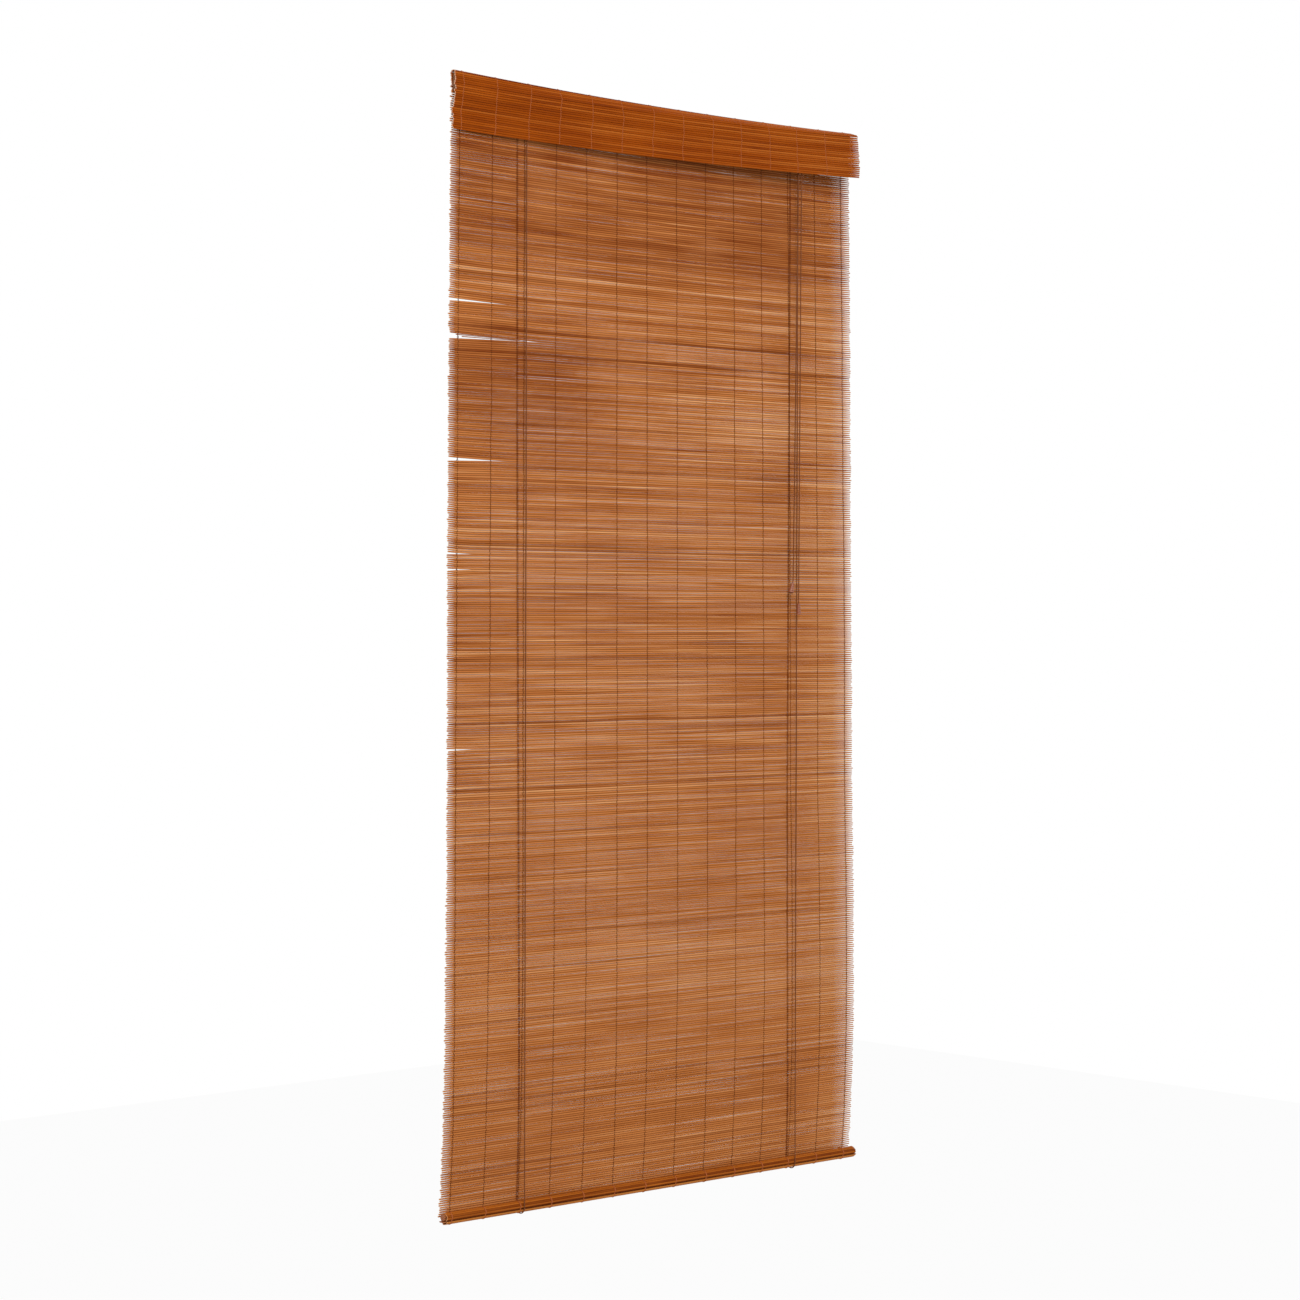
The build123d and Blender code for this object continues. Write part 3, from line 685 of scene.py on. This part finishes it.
def mat_reeds(name, first, last):
    """One stretch of the mat, each reed a flat oval that bends, swells and ends in its own place."""
    level = mat_top - (np.arange(first, last)[:, None] + 0.5) * reed_pitch
    count = len(level)
    fall = share_down(level)
    cord_places = [top * (1 - fall) + foot * fall + mat_lean * fall + np.interp(fall, falls, drift)
                   + beside_cord for (top, foot), drift in zip(rear_cords, rear_drifts)]
    fixed = np.tile(mat_stations, (count, 1))
    x = np.sort(np.concatenate([fixed, *cord_places], axis=1), axis=1)
    from_cord = np.min([np.abs(x - place.mean(1, keepdims=True)) for place in cord_places], axis=0)
    stations = x.shape[1]
    x[:, :3] += np.interp(fall, falls, left_ends)
    x[:, -3:] += np.interp(fall, falls, right_ends)
    fray(x, 0.0011, 0.0022, 0.0016)
    z = level + head_sag(x, level) + worn_shift(x, level) + wanders(count, stations, 0.00005, 9)
    y = mat_back(x, level) - reed_seat + wanders(count, stations, 0.00010, 7)
    y += np.interp(mat_foot - level, tuck_levels, tuck_depths)
    centres = np.stack([x - mat_lean * fall.clip(0, 1), y, z], -1)
    lean = wanders(count, stations, 0.10, 13)
    outs = np.stack([np.zeros_like(lean), -np.cos(lean), np.sin(lean)], -1)
    ways = np.broadcast_to(along_rail, centres.shape)
    rings = reed_rings(centres, outs, ways, mat_reed_heights(x, level))
    piece = make_piece(name, rings, mat_cane, mat_marks(x, level, from_cord))
    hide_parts("mat")
    return piece


def mat_threads(name, chosen):
    """Two cotton strands at each place, crossing between every two reeds."""
    steps = 2 * mat_rows + 1
    level = np.linspace(mat_top, mat_foot + 0.0008, steps)
    fall = share_down(level)
    common, right = np.interp(fall, falls, common_drift), np.interp(fall, falls, right_drift)
    lines = []
    for top, foot, bend in zip(top_places[chosen], foot_places[chosen], bend_shares[chosen]):
        place = top + (foot - top) * fall + common * (1 - bend) + right * bend
        drift = wander(steps, 0.0004, 26) + wander(steps, 0.0002, 300)
        for side, phase in crossings(steps):
            x = place + drift + 0.0004 * side
            y = mat_back(x, level) - reed_seat - phase * strand_rise
            lines.append(np.stack([x - mat_lean * fall, y, level + head_sag(x, level)], -1))
    centres = np.stack(lines)
    outs = np.broadcast_to(to_room, centres.shape)
    ways = np.broadcast_to(downward, centres.shape)
    rings = sweep(centres, outs, ways, strand_radius, strand_radius * 1.25, 4)
    piece = make_piece(name, rings, thread_cotton)
    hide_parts("warp_threads")
    return piece


def loose_slivers():
    """Thin splits of cane left lying across the widest worn gap."""
    run = np.linspace(0, 1, 20)
    x = np.linspace(-0.4355, -0.305, 20) + np.array([[0.0], [0.012]])
    start, drop = np.array([[0.0012], [-0.0014]]), np.array([[-0.0016], [0.0006]])
    z = worn_place + start + drop * run ** 1.5
    centres = np.stack([x, mat_back(x, z) - reed_seat, z], -1)
    outs = np.broadcast_to(to_room, centres.shape)
    ways = np.broadcast_to(along_rail, centres.shape)
    taper = 1 - 0.5 * run
    rings = sweep(centres, outs, ways, 0.0004, 0.0008 * np.stack([taper, taper]), reed_sides, reed_flatness)
    return make_piece("loose_slivers", rings, mat_cane, {"tone": 0.15, "seam_shade": 0.3, "cut": 0.0})


half_rows = mat_rows // 2
mat_pieces = (mat_reeds("mat_reeds_upper", 0, half_rows),
              mat_reeds("mat_reeds_lower", half_rows, mat_rows + tucked_rows),
              mat_threads("mat_threads_left", slice(0, 7)), mat_threads("mat_threads_right", slice(7, 14)),
              loose_slivers())
for piece in mat_pieces:
    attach(piece, "head")
    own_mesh(piece)


# The valance, the same matting folded over the rail

# Corners of the fold's inner face at the tight left end and the open right end: y and z in mm
left_corners = [(-2, -17), (-2, 14.2), (-5, 16.4), (-10.3, 14.2), (-10.3, -16), (-3.4, -46), (-3.6, -75)]
right_corners = [(-2, -17), (-2, 14.2), (-7, 16.4), (-25, 10), (-27.5, -16), (-29.5, -42), (-30.5, -64)]
fold_samples = 241
corner_softenings = 22


def fold_line(corners):
    """Evenly spaced points along the fold with rounded corners, their outward directions, its run."""
    corners = np.array(corners) * 0.001
    run = np.concatenate([[0], np.cumsum(np.hypot(*np.diff(corners, axis=0).T))])
    places = np.linspace(0, run[-1], fold_samples)
    line = np.stack([np.interp(places, run, corners[:, 0]), np.interp(places, run, corners[:, 1])], 1)
    for _ in range(corner_softenings):
        line[1:-1] = (line[:-2] + 2 * line[1:-1] + line[2:]) / 4
    way = np.gradient(line, axis=0)
    way /= np.linalg.norm(way, axis=1, keepdims=True)
    return line, np.stack([way[:, 1], -way[:, 0]], 1), run[-1]


left_fold, left_out, left_run = fold_line(left_corners)
right_fold, right_out, _ = fold_line(right_corners)
valance_rows = int(round(left_run / reed_pitch))


def on_fold(share, x):
    """Point on the fold's inner face and its outward direction, at a share of its run and at x."""
    spot = np.clip(share, 0, 1) * (fold_samples - 1)
    blend = (x + half_width) / (2 * half_width)
    number = np.arange(fold_samples)

    def between(left, right, axis):
        return (np.interp(spot, number, left[:, axis]) * (1 - blend)
                + np.interp(spot, number, right[:, axis]) * blend)

    y, z = between(left_fold, right_fold, 0), between(left_fold, right_fold, 1)
    out_y, out_z = between(left_out, right_out, 0), between(left_out, right_out, 1)
    size = np.hypot(out_y, out_z)
    return y, z + bow(x), out_y / size, out_z / size


def valance_reeds():
    """Reeds of the folded strip, darker, closer laid and a little uneven."""
    stations = len(valance_stations)
    x = np.tile(valance_stations, (valance_rows, 1))
    x[:, :3] += 0.0025
    x[:, -3:] -= 0.001
    fray(x, 0.0010, 0.0018, 0.0018)
    even_share = (np.arange(valance_rows)[:, None] + 0.5) / valance_rows
    y, z, out_y, out_z = on_fold(even_share + wanders(valance_rows, stations, 0.0004, 8), x)
    proud = reed_seat + wanders(valance_rows, stations, 0.00012, 8)
    centres = np.stack([x, y + out_y * proud, z + out_z * proud], -1)
    outs = np.stack([np.zeros_like(x), out_y, out_z], -1)
    ways = np.broadcast_to(along_rail, centres.shape)
    uneven = 1 + chance.normal(0, 0.025, (valance_rows, 1))
    height = valance_reed_height * uneven * (1 - 0.30 * above(x, 0.430, 0.020))
    # Painted light: the valance is lighter towards its right
    tone = 0.44 + chance.normal(0, 0.15, (valance_rows, 1)) + 0.28 * above(x, -0.25, 1)
    tone += wanders(valance_rows, stations, 0.08, 13)
    tone -= 0.35 * (chance.random((valance_rows, 1)) < 0.12)
    marks = {"tone": np.clip(tone, 0, 1)[..., None], "seam_shade": seam_shade_profile,
             "cut": cut_ends(valance_rows, stations, 0.9)}
    piece = make_piece("valance_reeds", reed_rings(centres, outs, ways, height), valance_cane, marks)
    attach(piece, "head")
    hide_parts("valance")


def valance_strands():
    """Pairs of strands that bind the folded strip."""
    steps = 2 * valance_rows + 1
    lines, faces, runs = [], [], []
    for place in valance_places:
        drift = wander(steps, 0.0008, 9)
        for side, phase in crossings(steps):
            x = place + drift + 0.00034 * side
            y, z, out_y, out_z = on_fold(np.linspace(0, 1, steps), x)
            lift = reed_seat + phase * strand_rise
            lines.append(np.stack([x, y + out_y * lift, z + out_z * lift], -1))
            faces.append(np.stack([np.zeros(steps), out_y, out_z], -1))
            runs.append(np.stack([np.zeros(steps), -out_z, out_y], -1))
    rings = sweep(np.stack(lines), np.stack(faces), np.stack(runs), strand_radius, strand_radius * 1.25, 6)
    piece = make_piece("valance_strands", rings, valance_cotton)
    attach(piece, "head")
    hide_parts("valance_threads")


valance_reeds()
valance_strands()


# The rolled hem

hem_way = np.array((hem_right - hem_left).normalized())
hem_up = np.array([0.0, 0.0, 1.0])
hem_front = np.cross(hem_up, hem_way)
hem_front *= -1 if hem_front[1] > 0 else 1
hem_length = (hem_right - hem_left).length

# Tone of each reed of the roll, from its front over the top and down the back to the underside: the bright
# reeds low on the front are painted light, the darkest reeds painted shadow lines
hem_tones_and_painted_light = np.array([0.34, 0.08, 0.45, 0.5, 0.45, 0.4, 0.5, 0.45, 0.5, 0.4, 0.5, 0.45, 0.5, 0.15,
                      0.9, 0.95, 0.02])


def hem_radius(turn):
    """Distance of the rolled reeds from the axis; the roll is pinched between dowel and lath."""
    front = np.angle(np.exp(1j * (turn - math.radians(-16))))
    rear = np.angle(np.exp(1j * (turn - math.radians(196))))
    return roll_reed_radius - 0.0021 * np.exp(-(front / 0.20) ** 2) - 0.0012 * np.exp(-(rear / 0.20) ** 2)


def round_hem(turn):
    """Outward directions at turns round the roll, counted from its front."""
    return np.cos(turn)[..., None] * hem_front + np.sin(turn)[..., None] * hem_up


def hem_reeds():
    """Reeds rolled round the dowel and lath, each with its own drift and end."""
    turns = np.arange(roll_reeds) * 2 * np.pi / roll_reeds + 0.11
    end_stations = np.array([0, 0.0012, 0.004])
    places = np.concatenate([end_stations, np.linspace(0.03, hem_length - 0.03, 24),
                             hem_length - end_stations[::-1]])
    stations = len(places)
    place = np.tile(places, (roll_reeds, 1))
    place[:, :2] += chance.normal(0, 0.0010, (roll_reeds, 1)).clip(-0.0002, 0.0024)
    place[:, -2:] -= chance.normal(0, 0.0010, (roll_reeds, 1)).clip(-0.0002, 0.0024)
    turn = turns[:, None] + wanders(roll_reeds, stations, 0.012, 6)
    radial = round_hem(turn)
    centres = np.array(hem_left) + place[..., None] * hem_way + radial * hem_radius(turn)[..., None]
    ways = np.broadcast_to(hem_way, centres.shape)
    tone = hem_tones_and_painted_light[:, None] + wanders(roll_reeds, stations, 0.07, 10)
    marks = {"tone": np.clip(tone, 0, 1)[..., None], "seam_shade": seam_shade_profile,
             "cut": cut_ends(roll_reeds, stations, 0.8)}
    rings = reed_rings(centres, radial, ways, hem_reed_height)
    piece = make_piece("hem_reeds", rings, hem_cane, marks)
    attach(piece, "roll")
    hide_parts("hem_roll")


def hem_bindings():
    """Thread ends wound once round the roll, a little left of the threads they end."""
    turn = np.linspace(0, 2 * np.pi, 52)
    radial = round_hem(turn)
    reach = hem_radius(turn) + reed_depth + 0.00022
    lines = []
    for number, place in enumerate(foot_places):
        middle = (place + half_width) / (2 * half_width) * hem_length
        for side in (1, -1):
            slant = side * 0.0005 * np.cos(turn) + 0.0006 * np.sin(turn + number) - 0.007
            lines.append(np.array(hem_left) + (middle + slant)[:, None] * hem_way + radial * reach[:, None])
    centres = np.stack(lines)
    outs = np.broadcast_to(radial, centres.shape)
    ways = np.gradient(centres, axis=1)
    ways /= np.linalg.norm(ways, axis=-1, keepdims=True)
    rings = sweep(centres, outs, ways, strand_radius, strand_radius * 1.2, 6)
    piece = make_piece("hem_bindings", rings, valance_cotton)
    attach(piece, "roll")


hem_reeds()
hem_bindings()


# Lift cords: front and rear legs, hung from the head

# Where each leg starts: the eye, the lock and the two staples
leg_tops = {"lift_left_front": (-0.2965, -0.0061, -0.02514), "lift_right_front": (0.3135, -0.0124, -0.019),
            "lift_left_rear": (-0.311, 0.001, 0.0074), "lift_right_rear": (0.308, 0.001, 0.0073)}
leg_stations = 420


def far_side(low, high, start):
    """The cord's middle at the end of its solid's box that lies further from the start."""
    low, high = low + cord_radius, high - cord_radius
    return low if abs(low - start) > abs(high - start) else high


def lift_leg(node, top):
    """One leg of a lift cord, in front of the mat or behind it, down to the foot of its solid."""
    low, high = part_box(node)
    foot = (far_side(low[0], high[0], top[0]), far_side(low[1], high[1], top[1]), low[2])
    steps = np.linspace(0, 1, leg_stations)[:, None]
    path = np.array(top) * (1 - steps) + np.array(foot) * steps
    path[1:-1, 0] += wander(leg_stations, 0.00012, 60)[1:-1]
    leg = cord_tube(node.replace("lift_", "lift_cord_"), path)
    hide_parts(node)
    fold_with_lift(leg)


for node, top in leg_tops.items():
    lift_leg(node, top)


# Finishes of the nodes that keep their own shape

def dress(material, *names):
    """Gives carried-over solids their finish."""
    for name in names:
        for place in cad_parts[name].material_slots:
            place.material = material


dress(rail_wood, "head_rail")
dress(lath_wood, "hem_lath")
dress(dowel_wood, "bottom_dowel")
dress(pull_wood, "cord_pull_1", "cord_pull_2")
dress(cord_cotton, "left_sling", "right_sling", "cross_cord", "roller_cord", "pull_knot_1", "pull_knot_2")
dress(plated_steel, "staples", "left_eye", "lock_housing", "lock_screws", "roller_pin", "pawl_pin")
dress(yellow_metal, "lock_roller", "lock_pawl")


# Studio

def light_world():
    """White to the camera and in reflections, soft grey fill for the rest."""
    world = bpy.data.worlds.new("studio")
    world.use_nodes = True
    bpy.context.scene.world = world
    nodes = Nodes(world.node_tree)
    backdrop = world.node_tree.nodes["Background"]
    backdrop.inputs["Color"].default_value = (1, 1, 1, 1)
    strength = nodes.spread(nodes.seen_straight(), 0.0, 1.0, 0.66, 1.0)
    world.node_tree.links.new(strength, backdrop.inputs["Strength"])


def floor_material():
    """Pale floor that shows almost white to the camera and keeps the shadow."""
    material = bpy.data.materials.new("floor_white")
    material.use_nodes = True
    tree = material.node_tree
    nodes = Nodes(tree)
    surface = tree.nodes["Principled BSDF"]
    surface.inputs["Base Color"].default_value = (0.86, 0.86, 0.86, 1)
    surface.inputs["Roughness"].default_value = 0.9
    seen = nodes.seen_straight()
    glow = nodes.add("ShaderNodeEmission", {"Color": (1, 1, 1, 1), "Strength": 1.0})
    join = nodes.add("ShaderNodeMixShader", {"Fac": nodes.math("MULTIPLY", seen, 0.93)})
    tree.links.new(surface.outputs[0], join.inputs[1])
    tree.links.new(glow.outputs[0], join.inputs[2])
    tree.links.new(join.outputs[0], tree.nodes["Material Output"].inputs["Surface"])
    return material


def lay_floor():
    """Floor below the lowest reach of the cord pulls."""
    reach = 14.0
    level = -4.2
    corners = [(-reach, -reach, level), (reach, -reach, level), (reach, reach, level), (-reach, reach, level)]
    mesh = bpy.data.meshes.new("studio_floor")
    mesh.from_pydata(corners, [], [(0, 1, 2, 3)])
    mesh.materials.append(floor_material())
    floor = bpy.data.objects.new("studio_floor", mesh)
    bpy.context.collection.objects.link(floor)


light_world()
lay_floor()
hang_lamp("key_lamp", (-2.0, -3.8, 2.4), (0, 0, -0.8), 150, 2.2)
hang_lamp("rear_lamp", (1.6, 3.2, 1.0), (0, 0, -0.8), 43, 2.4)

bpy.context.scene.view_settings.view_transform = "Standard"
